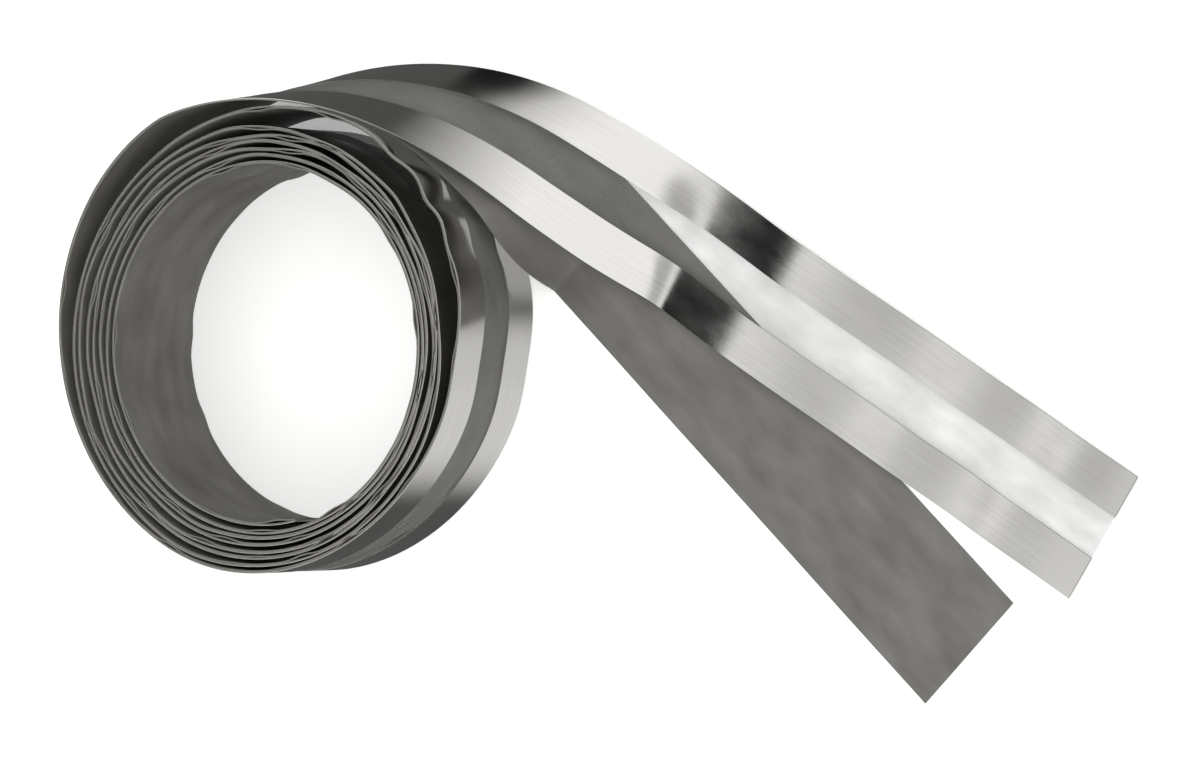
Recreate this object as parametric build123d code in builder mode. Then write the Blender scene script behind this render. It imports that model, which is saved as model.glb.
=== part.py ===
from build123d import *
import os
from math import cos, pi, radians, sin

# A coil of self-adhesive hinge tape, lying flat, with its free end led off and peeled.
# The tape is two thin metal strips on one clear film, adhesive behind each strip, and a
# paper liner over the adhesive. +Z is the coil's axis, +X runs along the free end's
# hinge line, and the origin is the middle of the coil's core, on the surface that the
# coil lies on. Millimetres and degrees throughout.

# Section of the tape. Widths add up from the edge that stands on the surface.
STRIP_WIDTH = 15.0
WEB_WIDTH = 15.0
LINER_THICKNESS = 0.15
ADHESIVE_THICKNESS = 0.15
FILM_THICKNESS = 0.15
METAL_THICKNESS = 0.20
BOND_GAP = 0.02

# The wound turns, from the core out. The drift moves each turn's middle a little.
WOUND_EIGHTHS = 51
CORE_RADIUS = 59.0
WOUND_RADIUS = 73.2
DRIFT_X = -0.08
DRIFT_Y = -0.14

# The loose outer lap: its start, and the radius of each eighth of a turn.
LAP_START = (-75.6, 0.5)
LAP_RADII = [83.3, 77.8, 64.5, 81.2, 85.1, 70.9, 83.5, 80.7]
EIGHTH = 45.0
FULL_TURN = 360.0

# The lead-off, as (radius, sweep) bends. It tips from standing on edge to lying flat.
LEAD_CURVE = (73.1, 30.0)
TAPE_BENDS = [(159.3, 19.2), (155.2, 35.0), (618.0, 5.8)]
TWIST_LENGTH = 206.0
TWIST_POWER = 1.30
TWIST_KNEE = 0.78
FLAT_RUN = 8.0
LEAD_STEPS = 24
JOINT_GAP = 0.10
CREASE_GAP = 0.10

# The free end: its length past the peel line, and its height over the liner.
FREE_LENGTH = 159.0
PEEL_CLEARANCE = 0.30

# The liner leaves the tape part way along the lead-off and turns further round. It has
# only half tipped by the end of its bend, and lays itself flat over a short straight.
SHARED_STEPS = 10
LINER_FAN = 11.8
LINER_BEND_RADIUS = 81.5
LINER_BEND_TIP = 52.0
LINER_LAY_LENGTH = 28.5
LINER_STEPS = 12
FLAP_ROOT = 5.0
FLAP_LENGTH = 186.0
PIVOT_RADIUS = 26.0
PIVOT_GAP = 0.30

# Derived sizes
TAPE_WIDTH = 2 * STRIP_WIDTH + WEB_WIDTH
CREASE = TAPE_WIDTH / 2
LINER = (0.0, LINER_THICKNESS)
ADHESIVE = (LINER[1] + BOND_GAP, LINER[1] + BOND_GAP + ADHESIVE_THICKNESS)
FILM = (ADHESIVE[1] + BOND_GAP, ADHESIVE[1] + BOND_GAP + FILM_THICKNESS)
METAL = (FILM[1] + BOND_GAP, FILM[1] + BOND_GAP + METAL_THICKNESS)
OUTER_BAND = (0.0, STRIP_WIDTH)
INNER_BAND = (STRIP_WIDTH + WEB_WIDTH, TAPE_WIDTH)
FULL_BAND = (0.0, TAPE_WIDTH)


def ahead(heading):
    return Vector(cos(radians(heading)), sin(radians(heading)))


def outward(heading):
    """The side away from the coil's middle, for a path that winds clockwise."""
    return Vector(-sin(radians(heading)), cos(radians(heading)))


def wound_radii():
    """Radii of the wound turns' eighths, from the lap inwards."""
    count = len(LAP_RADII)
    radii = []
    for step in range(WOUND_EIGHTHS):
        angle = radians(EIGHTH * ((count - 1 - step) % count + 0.5))
        out = 1 - (step + 0.5) / WOUND_EIGHTHS
        drift = DRIFT_X * cos(angle) + DRIFT_Y * sin(angle)
        radii.append(CORE_RADIUS + (WOUND_RADIUS - CORE_RADIUS) * out + drift)
    return radii


def coil_arcs():
    """The liner's inner face in plan: (centre, radius, heading at start, sweep)."""
    arcs = []
    point, heading = Vector(*LAP_START), 90.0
    for radius in wound_radii():
        centre = point - radius * outward(heading)
        heading += EIGHTH
        point = centre + radius * outward(heading)
        arcs.insert(0, (centre, radius, heading, EIGHTH))
    point, heading = Vector(*LAP_START), 90.0 + FULL_TURN
    for radius, sweep in [(r, EIGHTH) for r in LAP_RADII] + [LEAD_CURVE]:
        centre = point - radius * outward(heading)
        arcs.append((centre, radius, heading, sweep))
        heading -= sweep
        point = centre + radius * outward(heading)
    return arcs, point, heading


def along_bends(start, heading, bends, distance):
    """Point and heading at a distance along a chain of clockwise bends, then straight."""
    point = start
    for radius, sweep in bends:
        length = radius * radians(sweep)
        turned = min(distance, length) / radius * 180 / pi
        centre = point - radius * outward(heading)
        heading -= turned
        point = centre + radius * outward(heading)
        distance -= min(distance, length)
    return point + distance * ahead(heading), heading


def bends_length(bends):
    return sum(radius * radians(sweep) for radius, sweep in bends)


def tip_angle(distance, length):
    """How far the tape has tipped over: 0 on edge, 90 flat, with a level finish."""
    t = min(distance / length, 1.0)
    if t < TWIST_KNEE:
        return 90 * t**TWIST_POWER
    u = (t - TWIST_KNEE) / (1 - TWIST_KNEE)
    low = TWIST_KNEE**TWIST_POWER
    slope = TWIST_POWER * TWIST_KNEE ** (TWIST_POWER - 1) * (1 - TWIST_KNEE)
    rise = (2 * u**3 - 3 * u**2 + 1) * low + (u**3 - 2 * u**2 + u) * slope
    return 90 * (rise + 3 * u**2 - 2 * u**3)


ARCS, LEAD_POINT, LEAD_HEADING = coil_arcs()
TAPE_LEAD = bends_length(TAPE_BENDS) + FLAT_RUN
LEAD_STEP = (TAPE_LEAD - JOINT_GAP / 2) / LEAD_STEPS
SHARED_LENGTH = SHARED_STEPS * LEAD_STEP
PEEL_POINT, PEEL_HEADING = along_bends(LEAD_POINT, LEAD_HEADING, TAPE_BENDS, TAPE_LEAD)
SHARE_POINT, SHARE_HEADING = along_bends(LEAD_POINT, LEAD_HEADING, TAPE_BENDS, SHARED_LENGTH)
LINER_BENDS = [(LINER_BEND_RADIUS, SHARE_HEADING + LINER_FAN)]
LINER_LEAD = bends_length(LINER_BENDS) + LINER_LAY_LENGTH
FLAP_POINT, FLAP_HEADING = along_bends(SHARE_POINT, SHARE_HEADING, LINER_BENDS, LINER_LEAD)
PIVOT = FLAP_POINT + FLAP_ROOT * ahead(FLAP_HEADING) - CREASE * outward(FLAP_HEADING)


def station(point, heading, tip, lift):
    """Plane across the tape: local x up its width, local y out through its layers."""
    up_width = -sin(radians(tip)) * outward(heading) + Vector(0, 0, cos(radians(tip)))
    return Plane(origin=point + Vector(0, 0, lift), x_dir=up_width, z_dir=-1 * ahead(heading))


def tape_stations():
    """Planes from the coil's last upright section to the start of the free end."""
    planes = []
    for distance in [LEAD_STEP * k for k in range(LEAD_STEPS + 1)]:
        point, heading = along_bends(LEAD_POINT, LEAD_HEADING, TAPE_BENDS, distance)
        peeled = min(max(distance - SHARED_LENGTH, 0) / (TWIST_LENGTH - SHARED_LENGTH), 1)
        planes.append(station(point, heading, tip_angle(distance, TWIST_LENGTH), PEEL_CLEARANCE * peeled))
    return planes


def liner_tip(distance):
    """Tip of the liner past the point where it leaves the tape."""
    bend = bends_length(LINER_BENDS)
    start = tip_angle(SHARED_LENGTH, TWIST_LENGTH)
    if distance < bend:
        return start + (LINER_BEND_TIP - start) * sin(pi / 2 * distance / bend)
    return LINER_BEND_TIP + (90 - LINER_BEND_TIP) * ((distance - bend) / LINER_LAY_LENGTH) ** 2


def liner_stations():
    """Planes that follow the tape to where the liner leaves it, then the liner's own way."""
    planes = tape_stations()[: SHARED_STEPS + 1]
    for distance in [LINER_LEAD * k / LINER_STEPS for k in range(1, LINER_STEPS + 1)]:
        point, heading = along_bends(SHARE_POINT, SHARE_HEADING, LINER_BENDS, distance)
        planes.append(station(point, heading, liner_tip(distance), 0))
    return planes


def end_line(arc, turned, layer):
    """Ends of the short line through the layer, at an arc's start or finish."""
    centre, radius, heading, sweep = arc
    side = outward(heading - turned)
    return [centre + (radius + depth) * side for depth in layer]


def section(plane, band, layer):
    with BuildSketch(plane) as drawn:
        with Locations(((band[0] + band[1]) / 2, (layer[0] + layer[1]) / 2)):
            Rectangle(band[1] - band[0], layer[1] - layer[0])
    return drawn.sketch


def coil_piece(name, band, layer, planes):
    """One layer of the wound tape with its lead-off, as one solid."""
    with BuildPart() as piece:
        with BuildSketch(Plane.XY.offset(band[0])):
            with BuildLine():
                for depth in layer:
                    for centre, radius, heading, sweep in ARCS:
                        CenterArc(centre, radius + depth, heading + 90, -sweep)
                Line(*end_line(ARCS[0], 0, layer))
                Line(*end_line(ARCS[-1], ARCS[-1][3], layer))
            make_face()
        extrude(amount=band[1] - band[0])
        loft([section(plane, band, layer) for plane in planes], ruled=True)
    piece.part.label = name
    return piece


def free_piece(name, band, layer):
    """One layer of the straight free end, flat and just clear of the liner."""
    root = PEEL_POINT + (JOINT_GAP / 2) * ahead(PEEL_HEADING)
    with BuildPart() as piece:
        with BuildSketch(station(root, PEEL_HEADING, 90, PEEL_CLEARANCE)):
            with Locations(((band[0] + band[1]) / 2, (layer[0] + layer[1]) / 2)):
                Rectangle(band[1] - band[0], layer[1] - layer[0])
        extrude(amount=-(FREE_LENGTH - JOINT_GAP / 2))
    piece.part.label = name
    return piece


def write(piece):
    export_step(piece.part, f"parts/{piece.part.label}.step")


def liner_coil(name):
    """The wound liner with its own lead-off, ending in a round step about the pivot."""
    root = FLAP_POINT - CREASE * outward(FLAP_HEADING)
    flat = Plane(origin=root, x_dir=ahead(FLAP_HEADING))
    with BuildPart() as piece:
        with BuildSketch(Plane.XY):
            with BuildLine():
                for depth in LINER:
                    for centre, radius, heading, sweep in ARCS:
                        CenterArc(centre, radius + depth, heading + 90, -sweep)
                Line(*end_line(ARCS[0], 0, LINER))
                Line(*end_line(ARCS[-1], ARCS[-1][3], LINER))
            make_face()
        extrude(amount=TAPE_WIDTH)
        loft([section(plane, FULL_BAND, LINER) for plane in liner_stations()], ruled=True)
        with BuildSketch(flat):
            with Locations((FLAP_ROOT, 0)):
                Circle(PIVOT_RADIUS)
            Rectangle(FLAP_ROOT, TAPE_WIDTH, align=(Align.MIN, Align.CENTER))
            Rectangle(FLAP_LENGTH, TAPE_WIDTH, align=(Align.MIN, Align.CENTER), mode=Mode.INTERSECT)
        extrude(amount=LINER_THICKNESS)
    piece.part.label = name
    return piece


def liner_flap(name):
    """The liner's free flap, hollowed at its root so that it can swing on the surface."""
    with BuildPart() as piece:
        with BuildSketch(Plane(origin=PIVOT, x_dir=ahead(FLAP_HEADING))):
            Rectangle(FLAP_LENGTH, TAPE_WIDTH, align=(Align.MIN, Align.CENTER))
            Circle(PIVOT_RADIUS + PIVOT_GAP, mode=Mode.SUBTRACT)
        extrude(amount=LINER_THICKNESS)
    piece.part.label = name
    return piece


os.makedirs("parts", exist_ok=True)
TAPE_PLANES = tape_stations()
OUTER_HALF = (0.0, CREASE - CREASE_GAP / 2)
INNER_HALF = (CREASE + CREASE_GAP / 2, TAPE_WIDTH)

write(coil_piece("outer_strip_coil", OUTER_BAND, METAL, TAPE_PLANES))
write(coil_piece("inner_strip_coil", INNER_BAND, METAL, TAPE_PLANES))
write(coil_piece("hinge_film_coil", FULL_BAND, FILM, TAPE_PLANES))
write(coil_piece("outer_adhesive_coil", OUTER_BAND, ADHESIVE, TAPE_PLANES))
write(coil_piece("inner_adhesive_coil", INNER_BAND, ADHESIVE, TAPE_PLANES))
write(liner_coil("release_liner_coil"))

write(free_piece("outer_strip_end", OUTER_BAND, METAL))
write(free_piece("outer_film_end", OUTER_HALF, FILM))
write(free_piece("outer_adhesive_end", OUTER_BAND, ADHESIVE))
write(free_piece("inner_strip_end", INNER_BAND, METAL))
write(free_piece("inner_film_end", INNER_HALF, FILM))
write(free_piece("inner_adhesive_end", INNER_BAND, ADHESIVE))
write(liner_flap("release_liner_flap"))
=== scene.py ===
from math import ceil, cos, exp, pi, radians, sin

import bpy
from mathutils import Matrix, Vector


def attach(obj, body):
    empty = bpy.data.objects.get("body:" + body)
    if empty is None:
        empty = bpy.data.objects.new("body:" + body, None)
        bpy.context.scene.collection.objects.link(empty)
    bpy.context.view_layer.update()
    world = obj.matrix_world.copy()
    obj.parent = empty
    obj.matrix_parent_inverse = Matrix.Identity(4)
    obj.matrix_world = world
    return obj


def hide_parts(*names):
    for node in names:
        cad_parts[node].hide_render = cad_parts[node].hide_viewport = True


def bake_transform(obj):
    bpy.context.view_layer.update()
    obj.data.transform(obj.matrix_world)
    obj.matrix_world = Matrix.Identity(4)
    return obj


# A coil of self-adhesive hinge tape: two bright steel strips on a clear film, adhesive
# behind each strip, and a grey release liner that fans away from the free end.
# Shapes are worked out in millimetres in the row frame and become metres in the meshes.

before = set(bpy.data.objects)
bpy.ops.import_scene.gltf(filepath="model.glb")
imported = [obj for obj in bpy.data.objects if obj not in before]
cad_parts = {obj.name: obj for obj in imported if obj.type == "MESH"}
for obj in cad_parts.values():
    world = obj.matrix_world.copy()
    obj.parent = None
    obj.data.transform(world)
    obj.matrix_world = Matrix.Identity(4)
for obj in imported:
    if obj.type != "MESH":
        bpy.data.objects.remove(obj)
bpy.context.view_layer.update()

MM = 0.001

# Section of the tape, as in the CAD
STRIP_WIDTH = 15.0
TAPE_WIDTH = 45.0
CREASE = TAPE_WIDTH / 2
LINER = (0.0, 0.15)
ADHESIVE = (0.17, 0.32)
FILM = (0.34, 0.49)
METAL = (0.51, 0.71)
OUTER_BAND = (0.0, STRIP_WIDTH)
INNER_BAND = (TAPE_WIDTH - STRIP_WIDTH, TAPE_WIDTH)

# Path of the liner's inner face, as in the CAD
WOUND_EIGHTHS = 51
CORE_RADIUS = 59.0
WOUND_RADIUS = 73.2
DRIFT_X = -0.08
DRIFT_Y = -0.14
LAP_START = (-75.6, 0.5)
LAP_RADII = [83.3, 77.8, 64.5, 81.2, 85.1, 70.9, 83.5, 80.7]
EIGHTH = 45.0
LAST_TURN = (WOUND_EIGHTHS + len(LAP_RADII)) / 8
LEAD_CURVE = (73.1, 30.0)
TAPE_BENDS = [(159.3, 19.2), (155.2, 35.0), (618.0, 5.8)]
FLAT_RUN = 8.0
TWIST_LENGTH = 206.0
TWIST_POWER = 1.30
TWIST_KNEE = 0.78
SHARED_LENGTH = 91.12
FREE_LENGTH = 159.0
PEEL_CLEARANCE = 0.30
LINER_FAN = 11.8
LINER_BEND_RADIUS = 81.5
LINER_BEND_TIP = 52.0
LINER_LAY_LENGTH = 28.5
FLAP_ROOT = 5.0
FLAP_LENGTH = 186.0

# Sampling
COIL_STEP = 2.5
FREE_STEP = 1.5

# Their difference sets how far past the peel line the outer leaf pieces start
LIFT_START = 115.3
LIFT_END = 140.0

# Loosened places in the winding: (turns from the core, angle, half width, mm outwards)
LOOSE_PLACES = [
    (5, 131, 9, 0.7), (4, 128, 8, -0.6), (3, 124, 10, 0.6), (2, 119, 8, -0.6), (1, 127, 9, 0.6),
    (5, 104, 7, -0.6), (4, 98, 7, 0.7), (3, 92, 8, -0.6), (2, 101, 9, 0.6), (0, 96, 9, -0.5),
    (5, 74, 6, 0.8), (4, 66, 6, -0.6), (4, 52, 7, 0.6), (3, 70, 7, 0.7), (2, 62, 8, -0.5),
    (5, 38, 9, -0.6), (3, 30, 12, 0.6), (2, 18, 10, -0.6), (5, 6, 12, 0.6), (4, 350, 9, -0.6),
    (5, 236, 8, 0.7), (4, 229, 9, -0.7), (3, 240, 8, 0.7), (2, 224, 9, -0.6), (1, 233, 8, 0.6),
    (5, 266, 9, -0.6), (4, 274, 10, 0.7), (3, 262, 8, -0.6), (2, 280, 7, 0.6),
    (5, 196, 10, 0.6), (4, 182, 12, -0.6), (3, 190, 9, 0.6), (2, 170, 12, 0.6), (4, 156, 8, 0.6),
    (6, 84, 6, -1.6), (6, 66, 5, -2.0), (6, 50, 6, -1.4), (6, 22, 9, -1.0), (6, 280, 14, 0.8),
]
CORE_ANGLE = 180 + EIGHTH * (WOUND_EIGHTHS % 8)
UNEVEN = 0.17

# How deep the wound liner bags, and how much its soft edge spreads
BAG_DEPTH = 0.85
EDGE_SPREAD = 0.32

# Shallow waves of the free end: (mm from the peel line, half rise, half fall, height)
OUTER_WAVES = [(-46, 16, 16, 0.4), (25, 26, 46, 3.4), (96, 16, 20, 1.0), (136, 12, 12, 0.75)]
INNER_WAVES = [
    (-53, 4, 4, 0.20), (-43, 5, 4, 0.22), (19, 30, 50, 4.0), (84, 15, 18, 0.95), (126, 12, 14, 0.8),
]


def ahead(heading):
    return Vector((cos(radians(heading)), sin(radians(heading)), 0))


def outward(heading):
    return Vector((-sin(radians(heading)), cos(radians(heading)), 0))


def wound_radii():
    count = len(LAP_RADII)
    radii = []
    for step in range(WOUND_EIGHTHS):
        angle = radians(EIGHTH * ((count - 1 - step) % count + 0.5))
        out = 1 - (step + 0.5) / WOUND_EIGHTHS
        drift = DRIFT_X * cos(angle) + DRIFT_Y * sin(angle)
        radii.append(CORE_RADIUS + (WOUND_RADIUS - CORE_RADIUS) * out + drift)
    return radii


def coil_arcs():
    arcs = []
    start = Vector((*LAP_START, 0))
    point, heading = start, 90.0
    for radius in wound_radii():
        centre = point - radius * outward(heading)
        heading += EIGHTH
        point = centre + radius * outward(heading)
        arcs.insert(0, (centre, radius, heading, EIGHTH))
    point, heading = start, 90.0
    for radius, sweep in [(r, EIGHTH) for r in LAP_RADII] + [LEAD_CURVE]:
        centre = point - radius * outward(heading)
        arcs.append((centre, radius, heading, sweep))
        heading -= sweep
        point = centre + radius * outward(heading)
    return arcs, point, heading


def along_bends(start, heading, bends, distance):
    point = start
    for radius, sweep in bends:
        length = radius * radians(sweep)
        turned = min(distance, length) / radius * 180 / pi
        centre = point - radius * outward(heading)
        heading -= turned
        point = centre + radius * outward(heading)
        distance -= min(distance, length)
    return point + distance * ahead(heading), heading


def bends_length(bends):
    return sum(radius * radians(sweep) for radius, sweep in bends)


def tip_angle(distance):
    """How far the tape has tipped over: 0 on edge, 90 flat, with a level finish."""
    t = min(distance / TWIST_LENGTH, 1.0)
    if t < TWIST_KNEE:
        return 90 * t**TWIST_POWER
    u = (t - TWIST_KNEE) / (1 - TWIST_KNEE)
    low = TWIST_KNEE**TWIST_POWER
    slope = TWIST_POWER * TWIST_KNEE ** (TWIST_POWER - 1) * (1 - TWIST_KNEE)
    rise = (2 * u**3 - 3 * u**2 + 1) * low + (u**3 - 2 * u**2 + u) * slope
    return 90 * (rise + 3 * u**2 - 2 * u**3)


ARCS, LEAD_POINT, LEAD_HEADING = coil_arcs()
LEAD_HEADING += 360.0
TAPE_LEAD = bends_length(TAPE_BENDS) + FLAT_RUN
PEEL_POINT, PEEL_HEADING = along_bends(LEAD_POINT, LEAD_HEADING, TAPE_BENDS, TAPE_LEAD)
SHARE_POINT, SHARE_HEADING = along_bends(LEAD_POINT, LEAD_HEADING, TAPE_BENDS, SHARED_LENGTH)
LINER_BENDS = [(LINER_BEND_RADIUS, SHARE_HEADING + LINER_FAN)]
LINER_LEAD = bends_length(LINER_BENDS) + LINER_LAY_LENGTH
FLAP_POINT, FLAP_HEADING = along_bends(SHARE_POINT, SHARE_HEADING, LINER_BENDS, LINER_LEAD)


def liner_tip(distance):
    bend = bends_length(LINER_BENDS)
    start = tip_angle(SHARED_LENGTH)
    if distance < bend:
        return start + (LINER_BEND_TIP - start) * sin(pi / 2 * distance / bend)
    lying = min((distance - bend) / LINER_LAY_LENGTH, 1.0)
    return LINER_BEND_TIP + (90 - LINER_BEND_TIP) * lying**2 * (1.6 - 0.6 * lying)


class Sample:
    """One section of the path: where it stands, which way it runs, and how far it leans."""

    def __init__(self, distance, point, heading, tip, lift, turn):
        self.distance, self.point, self.heading = distance, point, heading
        self.tip, self.lift, self.turn = tip, lift, turn

    def place(self, width, depth):
        side = outward(self.heading)
        lean = radians(self.tip)
        up = cos(lean) * Vector((0, 0, 1)) - sin(lean) * side
        out = cos(lean) * side + sin(lean) * Vector((0, 0, 1))
        return self.point + width * up + depth * out + Vector((0, 0, self.lift))


def looseness(turn, angle):
    """How far a wound turn stands off its even spiral, in millimetres outwards."""
    count = round(turn - (CORE_ANGLE - angle) % 360 / 360)
    close = min(max(WOUND_EIGHTHS / 8 - turn, 0) / 0.3, 1)
    total = UNEVEN * close * sin(radians(angle) + 2.1 * turn)
    total += UNEVEN * close * sin(radians(2 * angle) + 3.7 * turn)
    for place, middle, spread, amount in LOOSE_PLACES:
        if place == count:
            off = (angle - middle + 180) % 360 - 180
            total += amount * exp(-((off / spread) ** 2))
    return total


def coil_samples():
    samples, distance, turned = [], 0.0, 0.0
    for centre, radius, heading, sweep in ARCS:
        steps = ceil(radius * radians(sweep) / COIL_STEP)
        for k in range(steps):
            now = heading - sweep * k / steps
            side = outward(now)
            angle = (now + 90) % 360
            turn = (turned + sweep * k / steps) / 360
            point = centre + (radius + looseness(turn, angle)) * side
            samples.append(Sample(distance, point, now, 0.0, 0.0, turn))
            distance += radius * radians(sweep) / steps
        turned += sweep
    return samples, distance


def run_samples(first, last, step, base, place):
    """Samples from one distance to another; place gives point, heading, tip and lift."""
    count = ceil((last - first) / step)
    samples = []
    for k in range(count + 1):
        distance = first + (last - first) * k / count
        samples.append(Sample(base + distance, *place(distance), LAST_TURN + 1))
    return samples


def tape_place(distance):
    point, heading = along_bends(LEAD_POINT, LEAD_HEADING, TAPE_BENDS, distance)
    if distance > TAPE_LEAD:
        heading = PEEL_HEADING
    peeled = min(max(distance - SHARED_LENGTH, 0) / (TWIST_LENGTH - SHARED_LENGTH), 1)
    return point, heading, tip_angle(distance), PEEL_CLEARANCE * peeled


def liner_place(distance):
    if distance < SHARED_LENGTH:
        return tape_place(distance)
    own = distance - SHARED_LENGTH
    point, heading = along_bends(SHARE_POINT, SHARE_HEADING, LINER_BENDS, own)
    return point, heading, liner_tip(own), 0.0


def wave(waves, distance):
    """Height of the shallow waves, measured from the peel line."""
    from_peel = distance - WOUND_LENGTH - TAPE_LEAD
    total = 0.0
    for middle, rise, fall, height in waves:
        half = rise if from_peel < middle else fall
        total += height * exp(-(((from_peel - middle) / half) ** 2))
    return total


def tape_wave(sample, width, depth):
    """The two strips wave on their own; the web between them eases from one to the other."""
    share = min(max((width - STRIP_WIDTH) / (TAPE_WIDTH - 2 * STRIP_WIDTH), 0), 1)
    low, high = wave(OUTER_WAVES, sample.distance), wave(INNER_WAVES, sample.distance)
    ripple = 0.03 * (1 + sin(sample.distance / 7.3) * sin(sample.distance / 31.0))
    return low + (high - low) * share * share * (3 - 2 * share) + ripple


def liner_wave(sample, width, depth):
    """In the winding the liner bags a little; on the surface it is nearly flat."""
    if sample.turn < LAST_TURN + 1:
        bag = sin(sample.distance / 4.7) * sin(sample.distance / 29.0 + 1.3)
        fade = min(max(WOUND_LENGTH - sample.distance, 0) / 20, 1)
        swell = EDGE_SPREAD if depth == LINER[0] else 0.0
        return -fade * (BAG_DEPTH * max(bag, 0) ** 2 + swell)
    flat = max(sample.distance - WOUND_LENGTH - SHARED_LENGTH - LINER_LEAD, 0) / FLAP_LENGTH
    lump = 0.5 + 0.5 * sin(sample.distance / 14.0 + width / 17.0)
    return 0.22 * lump * min(flat * 4, 1)


COIL, WOUND_LENGTH = coil_samples()


def ribbon(name, samples, band, layer, columns, shape):
    """A closed strip through the samples, with a UV map of millimetres along and across."""
    points, uvs, faces = [], [], []
    widths = [band[0] + (band[1] - band[0]) * k / columns for k in range(columns + 1)]
    for sample in samples:
        for depth in layer:
            for width in widths:
                points.append(MM * sample.place(width, depth + shape(sample, width, depth)))
                uvs.append((sample.distance, width))
    row = columns + 1
    ring = 2 * row
    for k in range(len(samples) - 1):
        a, b = k * ring, (k + 1) * ring
        for c in range(columns):
            faces.append((a + c, a + c + 1, b + c + 1, b + c))
            faces.append((a + row + c, b + row + c, b + row + c + 1, a + row + c + 1))
        faces.append((a, b, b + row, a + row))
        faces.append((a + columns, a + row + columns, b + row + columns, b + columns))
    for base, flip in ((0, False), ((len(samples) - 1) * ring, True)):
        for c in range(columns):
            quad = (base + c, base + row + c, base + row + c + 1, base + c + 1)
            faces.append(quad[::-1] if flip else quad)
    mesh = bpy.data.meshes.new(name)
    mesh.from_pydata(points, [], faces)
    layer_uv = mesh.uv_layers.new(name="along")
    for loop in mesh.loops:
        layer_uv.data[loop.index].uv = uvs[loop.vertex_index]
    end_faces = 2 * columns
    for polygon in mesh.polygons:
        polygon.use_smooth = polygon.index < len(faces) - end_faces
    mesh.update()
    obj = bpy.data.objects.new(name, mesh)
    bpy.context.scene.collection.objects.link(obj)
    mesh.set_sharp_from_angle(angle=radians(50))
    return obj


# ---------------------------------------------------------------- materials


def new_material(name):
    material = bpy.data.materials.new(name)
    material.use_nodes = True
    nodes, links = material.node_tree.nodes, material.node_tree.links
    return material, nodes, links, nodes["Principled BSDF"]


def along_noise(nodes, links, scale_along, scale_across, detail):
    """Noise on the ribbon's own millimetres, stretched along or across it."""
    uv = nodes.new("ShaderNodeUVMap")
    uv.uv_map = "along"
    mapping = nodes.new("ShaderNodeMapping")
    mapping.inputs["Scale"].default_value = (scale_along, scale_across, 1)
    links.new(uv.outputs["UV"], mapping.inputs["Vector"])
    noise = nodes.new("ShaderNodeTexNoise")
    noise.inputs["Scale"].default_value = 1.0
    noise.inputs["Detail"].default_value = detail
    links.new(mapping.outputs["Vector"], noise.inputs["Vector"])
    return noise.outputs["Fac"]


def spread(nodes, links, value, low, high):
    """Maps the middle of a noise's range onto low to high."""
    ramp = nodes.new("ShaderNodeMapRange")
    ramp.inputs["From Min"].default_value = 0.3
    ramp.inputs["From Max"].default_value = 0.7
    ramp.inputs["To Min"].default_value = low
    ramp.inputs["To Max"].default_value = high
    links.new(value, ramp.inputs["Value"])
    return ramp.outputs["Result"]


def tint(nodes, links, value, dark, light):
    mix = nodes.new("ShaderNodeMix")
    mix.data_type = "RGBA"
    mix.inputs[6].default_value = (*dark, 1)
    mix.inputs[7].default_value = (*light, 1)
    links.new(value, mix.inputs[0])
    return mix.outputs[2]


def bump(nodes, links, shader, height, strength, distance):
    node = nodes.new("ShaderNodeBump")
    node.inputs["Strength"].default_value = strength
    node.inputs["Distance"].default_value = distance
    links.new(height, node.inputs["Height"])
    links.new(node.outputs["Normal"], shader.inputs["Normal"])


def steel_material():
    """Bright rolled strip: fine lines along its length, faint handling marks."""
    material, nodes, links, shader = new_material("rolled_steel")
    shader.inputs["Metallic"].default_value = 1.0
    lines = along_noise(nodes, links, 0.02, 5.0, 3.0)
    marks = along_noise(nodes, links, 0.05, 0.09, 4.0)
    tone = tint(nodes, links, lines, (0.54, 0.53, 0.51), (0.78, 0.775, 0.76))
    links.new(tone, shader.inputs["Base Color"])
    links.new(spread(nodes, links, marks, 0.09, 0.17), shader.inputs["Roughness"])
    shader.inputs["Anisotropic"].default_value = 0.5
    tangent = nodes.new("ShaderNodeTangent")
    tangent.direction_type = "UV_MAP"
    tangent.uv_map = "along"
    links.new(tangent.outputs["Tangent"], shader.inputs["Tangent"])
    bump(nodes, links, shader, lines, 0.10, 0.0001)
    return material


def film_material():
    """Clear glossy film, a little cloudy."""
    material, nodes, links, shader = new_material("clear_film")
    haze = along_noise(nodes, links, 0.06, 0.15, 3.0)
    shader.inputs["Base Color"].default_value = (0.25, 0.25, 0.24, 1)
    shader.inputs["Roughness"].default_value = 0.12
    shader.inputs["IOR"].default_value = 1.49
    links.new(spread(nodes, links, haze, 0.12, 0.22), shader.inputs["Alpha"])
    bump(nodes, links, shader, haze, 0.05, 0.0004)
    return material


def adhesive_material():
    """Translucent tacky layer with small bubbles."""
    material, nodes, links, shader = new_material("adhesive_layer")
    bubbles = along_noise(nodes, links, 0.9, 0.9, 2.0)
    tone = tint(nodes, links, bubbles, (0.30, 0.29, 0.26), (0.42, 0.41, 0.37))
    links.new(tone, shader.inputs["Base Color"])
    shader.inputs["Roughness"].default_value = 0.28
    shader.inputs["IOR"].default_value = 1.47
    bump(nodes, links, shader, bubbles, 0.15, 0.0002)
    return material


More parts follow.
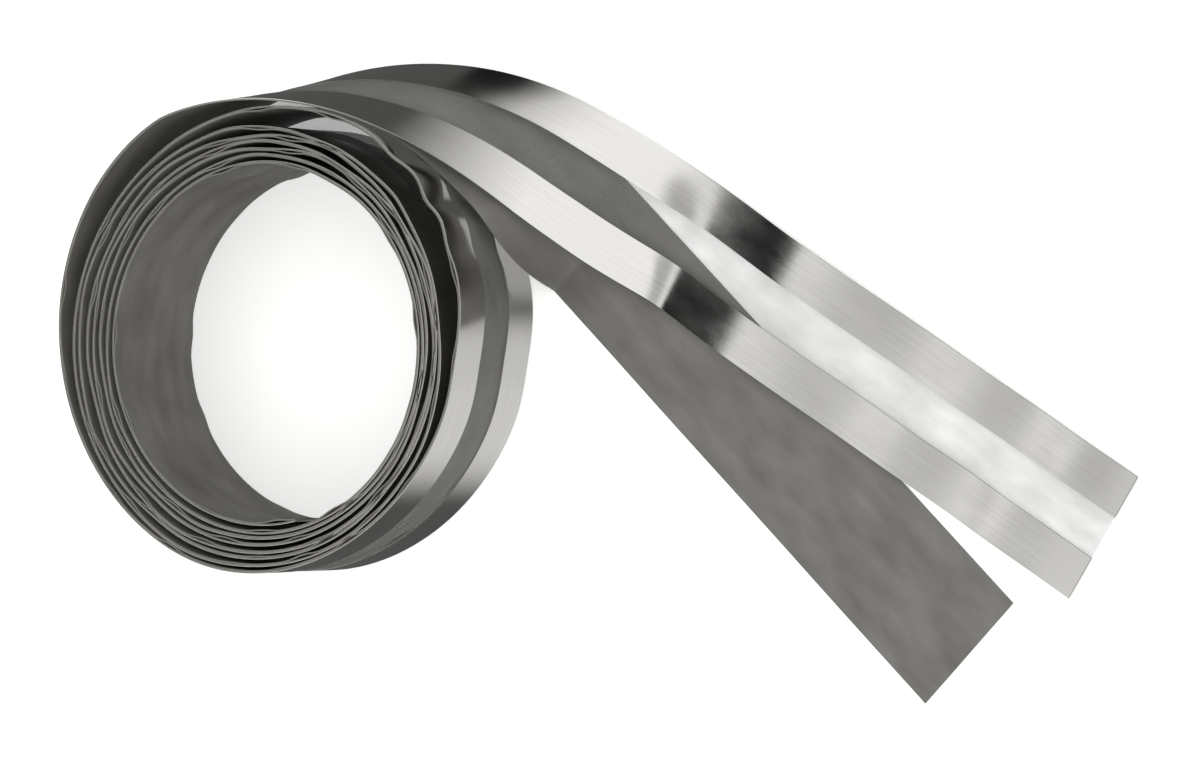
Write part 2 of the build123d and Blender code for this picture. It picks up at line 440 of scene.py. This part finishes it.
def liner_material():
    """Grey coated paper: a broad mottle, fine fibres and a faint sheen."""
    material, nodes, links, shader = new_material("release_paper")
    mottle = along_noise(nodes, links, 0.045, 0.11, 6.0)
    fibres = along_noise(nodes, links, 1.4, 0.8, 2.0)
    shade = spread(nodes, links, mottle, 0.0, 1.0)
    tone = tint(nodes, links, shade, (0.118, 0.114, 0.104), (0.185, 0.180, 0.168))
    links.new(tone, shader.inputs["Base Color"])
    shader.inputs["Roughness"].default_value = 0.55
    bump(nodes, links, shader, fibres, 0.08, 0.0002)
    return material


def floor_material():
    material, nodes, links, shader = new_material("floor_white")
    shader.inputs["Base Color"].default_value = (0.9, 0.9, 0.9, 1)
    shader.inputs["Roughness"].default_value = 0.9
    shader.inputs["Emission Color"].default_value = (1, 1, 1, 1)
    shader.inputs["Emission Strength"].default_value = 0.35
    return material


STEEL, CLEAR, TACKY, PAPER = steel_material(), film_material(), adhesive_material(), liner_material()


def finish_piece(obj, material, slot, *nodes):
    obj.data.materials.append(material)
    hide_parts(*nodes)
    return obj


# ---------------------------------------------------------------- tape and liner

LEAF_START = TAPE_LEAD + LIFT_END - LIFT_START
TAPE_END = TAPE_LEAD + FREE_LENGTH
LEAD = run_samples(0, TAPE_LEAD, FREE_STEP, WOUND_LENGTH, tape_place)
WHOLE_TAPE = COIL + LEAD + run_samples(TAPE_LEAD, TAPE_END, FREE_STEP, WOUND_LENGTH, tape_place)[1:]
NEAR_TAPE = COIL + LEAD + run_samples(TAPE_LEAD, LEAF_START, FREE_STEP, WOUND_LENGTH, tape_place)[1:]
LEAF_TAPE = run_samples(LEAF_START, TAPE_END, FREE_STEP, WOUND_LENGTH, tape_place)
FLAP_START = SHARED_LENGTH + LINER_LEAD + FLAP_ROOT
LINER_NEAR = COIL + run_samples(0, FLAP_START, FREE_STEP, WOUND_LENGTH, liner_place)
LINER_FLAP = run_samples(FLAP_START, FLAP_START + FLAP_LENGTH, FREE_STEP, WOUND_LENGTH, liner_place)


def tape_layer(kind, bands, layer, material, slot, columns, coil_nodes):
    """One layer as a continuous inner piece and an outer piece in two lengths."""
    inner_band, outer_band = bands
    inner = ribbon(f"inner_{kind}", WHOLE_TAPE, inner_band, layer, columns, tape_wave)
    finish_piece(inner, material, slot, coil_nodes[1], f"inner_{kind}_end")
    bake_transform(inner)
    near = ribbon(f"outer_{kind}_near", NEAR_TAPE, outer_band, layer, columns, tape_wave)
    finish_piece(near, material, slot, coil_nodes[0])
    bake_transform(near)
    leaf = ribbon(f"outer_{kind}_leaf", LEAF_TAPE, outer_band, layer, columns, tape_wave)
    finish_piece(leaf, material, slot, f"outer_{kind}_end")
    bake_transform(leaf)


strip_bands = (INNER_BAND, OUTER_BAND)
film_bands = ((CREASE, TAPE_WIDTH), (0.0, CREASE))
tape_layer("strip", strip_bands, METAL, STEEL, "steel", 6, ("outer_strip_coil", "inner_strip_coil"))
tape_layer("film", film_bands, FILM, CLEAR, "film", 6, ("hinge_film_coil", "hinge_film_coil"))
tape_layer("adhesive", strip_bands, ADHESIVE, TACKY, "adhesive", 4,
           ("outer_adhesive_coil", "inner_adhesive_coil"))

liner = ribbon("release_liner", LINER_NEAR, (0.0, TAPE_WIDTH), LINER, 12, liner_wave)
finish_piece(liner, PAPER, "liner", "release_liner_coil")
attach(liner, "coil")
flap = ribbon("release_liner_free", LINER_FLAP, (0.0, TAPE_WIDTH), LINER, 12, liner_wave)
finish_piece(flap, PAPER, "liner", "release_liner_flap")
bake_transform(flap)

KINDS = (("strip", STEEL), ("film", CLEAR), ("adhesive", TACKY), ("liner", PAPER))
for name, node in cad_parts.items():
    for kind, material in KINDS:
        if kind in name:
            node.data.materials.clear()
            node.data.materials.append(material)

# ---------------------------------------------------------------- floor, light, camera

FLOOR_HALF = 3.0
FLOOR_DEPTH = -0.0002
LOW_LIGHT = 0.10
HIGH_LIGHT = 1.25
# Patches of the sky: (azimuth, elevation, inner angle, outer angle, change of strength)
SKY_LOBES = [
    (205, 44.5, 10, 13.5, -1.3), (214, 76, 4, 13, -0.7), (213, 60, 4, 12, -0.22),
    (150, 8, 10, 26, -0.6), (-12, -60, 8, 26, 0.75), (70, -58, 6, 20, 0.35), (160, 42, 4, 14, 0.5),
]
CAMERA_BACK = Vector((0.43185, 0.26739, 0.86140)).normalized()
CAMERA_DISTANCE = 1.97271
CAMERA_ROLL = -89.694
CAMERA_AIM = Vector((0, 0, 0.0225))
CAMERA_SHIFT = (-0.100831, 0.011511)
CAMERA_LENS = 177.69


def make_floor():
    """A plain pale floor. The steel doesn't mirror it, so the sky alone shades the steel."""
    mesh = bpy.data.meshes.new("floor")
    h = FLOOR_HALF
    corners = [(-h, -h, FLOOR_DEPTH), (h, -h, FLOOR_DEPTH), (h, h, FLOOR_DEPTH), (-h, h, FLOOR_DEPTH)]
    mesh.from_pydata(corners, [], [(0, 1, 2, 3)])
    obj = bpy.data.objects.new("floor", mesh)
    bpy.context.scene.collection.objects.link(obj)
    mesh.materials.append(floor_material())
    obj.visible_glossy = False


def sky_lobe(nodes, links, coords, azimuth, elevation, inner, outer, amount):
    """A soft round patch of the sky: amount inside the inner angle, nothing past the outer."""
    dot = nodes.new("ShaderNodeVectorMath")
    dot.operation = "DOT_PRODUCT"
    level = cos(radians(elevation))
    dot.inputs[1].default_value = (
        level * cos(radians(azimuth)), level * sin(radians(azimuth)), sin(radians(elevation)))
    links.new(coords, dot.inputs[0])
    ramp = nodes.new("ShaderNodeMapRange")
    ramp.interpolation_type = "SMOOTHSTEP"
    ramp.inputs["From Min"].default_value = cos(radians(outer))
    ramp.inputs["From Max"].default_value = cos(radians(inner))
    ramp.inputs["To Min"].default_value = 0.0
    ramp.inputs["To Max"].default_value = amount
    links.new(dot.outputs["Value"], ramp.inputs["Value"])
    return ramp.outputs["Result"]


def make_world():
    """White light from above and a dim room below, with dark patches for the steel."""
    world = bpy.data.worlds.new("studio")
    bpy.context.scene.world = world
    world.use_nodes = True
    nodes, links = world.node_tree.nodes, world.node_tree.links
    background = nodes["Background"]
    coords = nodes.new("ShaderNodeTexCoord").outputs["Generated"]
    split = nodes.new("ShaderNodeSeparateXYZ")
    links.new(coords, split.inputs[0])
    height = nodes.new("ShaderNodeMapRange")
    height.inputs["From Min"].default_value = -0.25
    height.inputs["From Max"].default_value = 0.65
    height.inputs["To Min"].default_value = LOW_LIGHT
    height.inputs["To Max"].default_value = HIGH_LIGHT
    links.new(split.outputs["Z"], height.inputs["Value"])
    total = height.outputs["Result"]
    for lobe in SKY_LOBES:
        add = nodes.new("ShaderNodeMath")
        add.operation = "ADD"
        links.new(total, add.inputs[0])
        links.new(sky_lobe(nodes, links, coords, *lobe), add.inputs[1])
        total = add.outputs[0]
    floor_level = nodes.new("ShaderNodeMath")
    floor_level.operation = "MAXIMUM"
    floor_level.inputs[1].default_value = 0.015
    links.new(total, floor_level.inputs[0])
    background.inputs["Color"].default_value = (1.0, 0.995, 0.98, 1)
    links.new(floor_level.outputs[0], background.inputs["Strength"])


def make_camera():
    camera = bpy.data.cameras.new("camera")
    camera.lens = CAMERA_LENS
    camera.sensor_width = 36
    camera.clip_start, camera.clip_end = 0.1, 10
    obj = bpy.data.objects.new("camera", camera)
    bpy.context.scene.collection.objects.link(obj)
    level = Vector((0, 0, 1)).cross(CAMERA_BACK).normalized()
    above = CAMERA_BACK.cross(level)
    roll = radians(CAMERA_ROLL)
    right = cos(roll) * level + sin(roll) * above
    up = -sin(roll) * level + cos(roll) * above
    spot = CAMERA_AIM + CAMERA_DISTANCE * CAMERA_BACK - CAMERA_SHIFT[0] * right - CAMERA_SHIFT[1] * up
    obj.matrix_world = Matrix((right, up, CAMERA_BACK)).transposed().to_4x4()
    obj.location = spot
    bpy.context.scene.camera = obj


make_floor()
make_world()
make_camera()
bpy.context.scene.view_settings.view_transform = "Standard"
